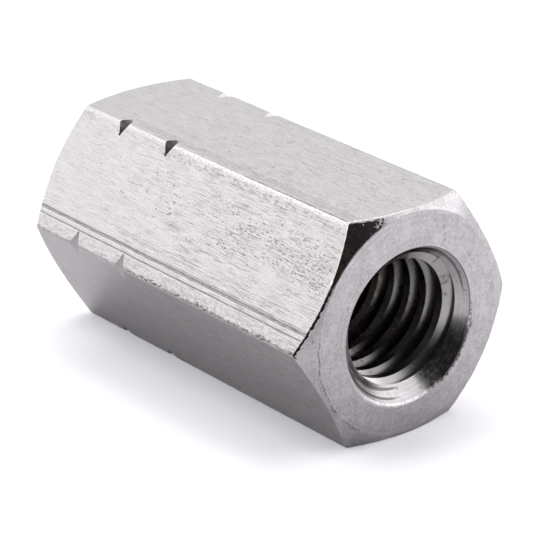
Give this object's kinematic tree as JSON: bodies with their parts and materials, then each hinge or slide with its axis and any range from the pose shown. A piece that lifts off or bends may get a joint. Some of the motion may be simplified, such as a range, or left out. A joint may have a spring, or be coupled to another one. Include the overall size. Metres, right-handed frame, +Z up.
{
  "type": "coupling nut",
  "caption": "Long hexagon nut, threaded right through, that joins threaded rods end to end; turned marking grooves round its corners near one end.",
  "frame": {"origin": "on the thread axis, at the middle of the nut's length", "axes": "+X along the thread axis towards the plain end, +Z up, with the nut lying on the flat that faces down"},
  "size_m": [0.015, 0.0092, 0.008],
  "materials": {
    "steel": "cold-drawn stainless flats with lengthwise draw lines, turned ends, bright tapped bore"
  },
  "bodies": {
    "root": {"coupling_nut": "steel"}
  },
  "joints": []
}
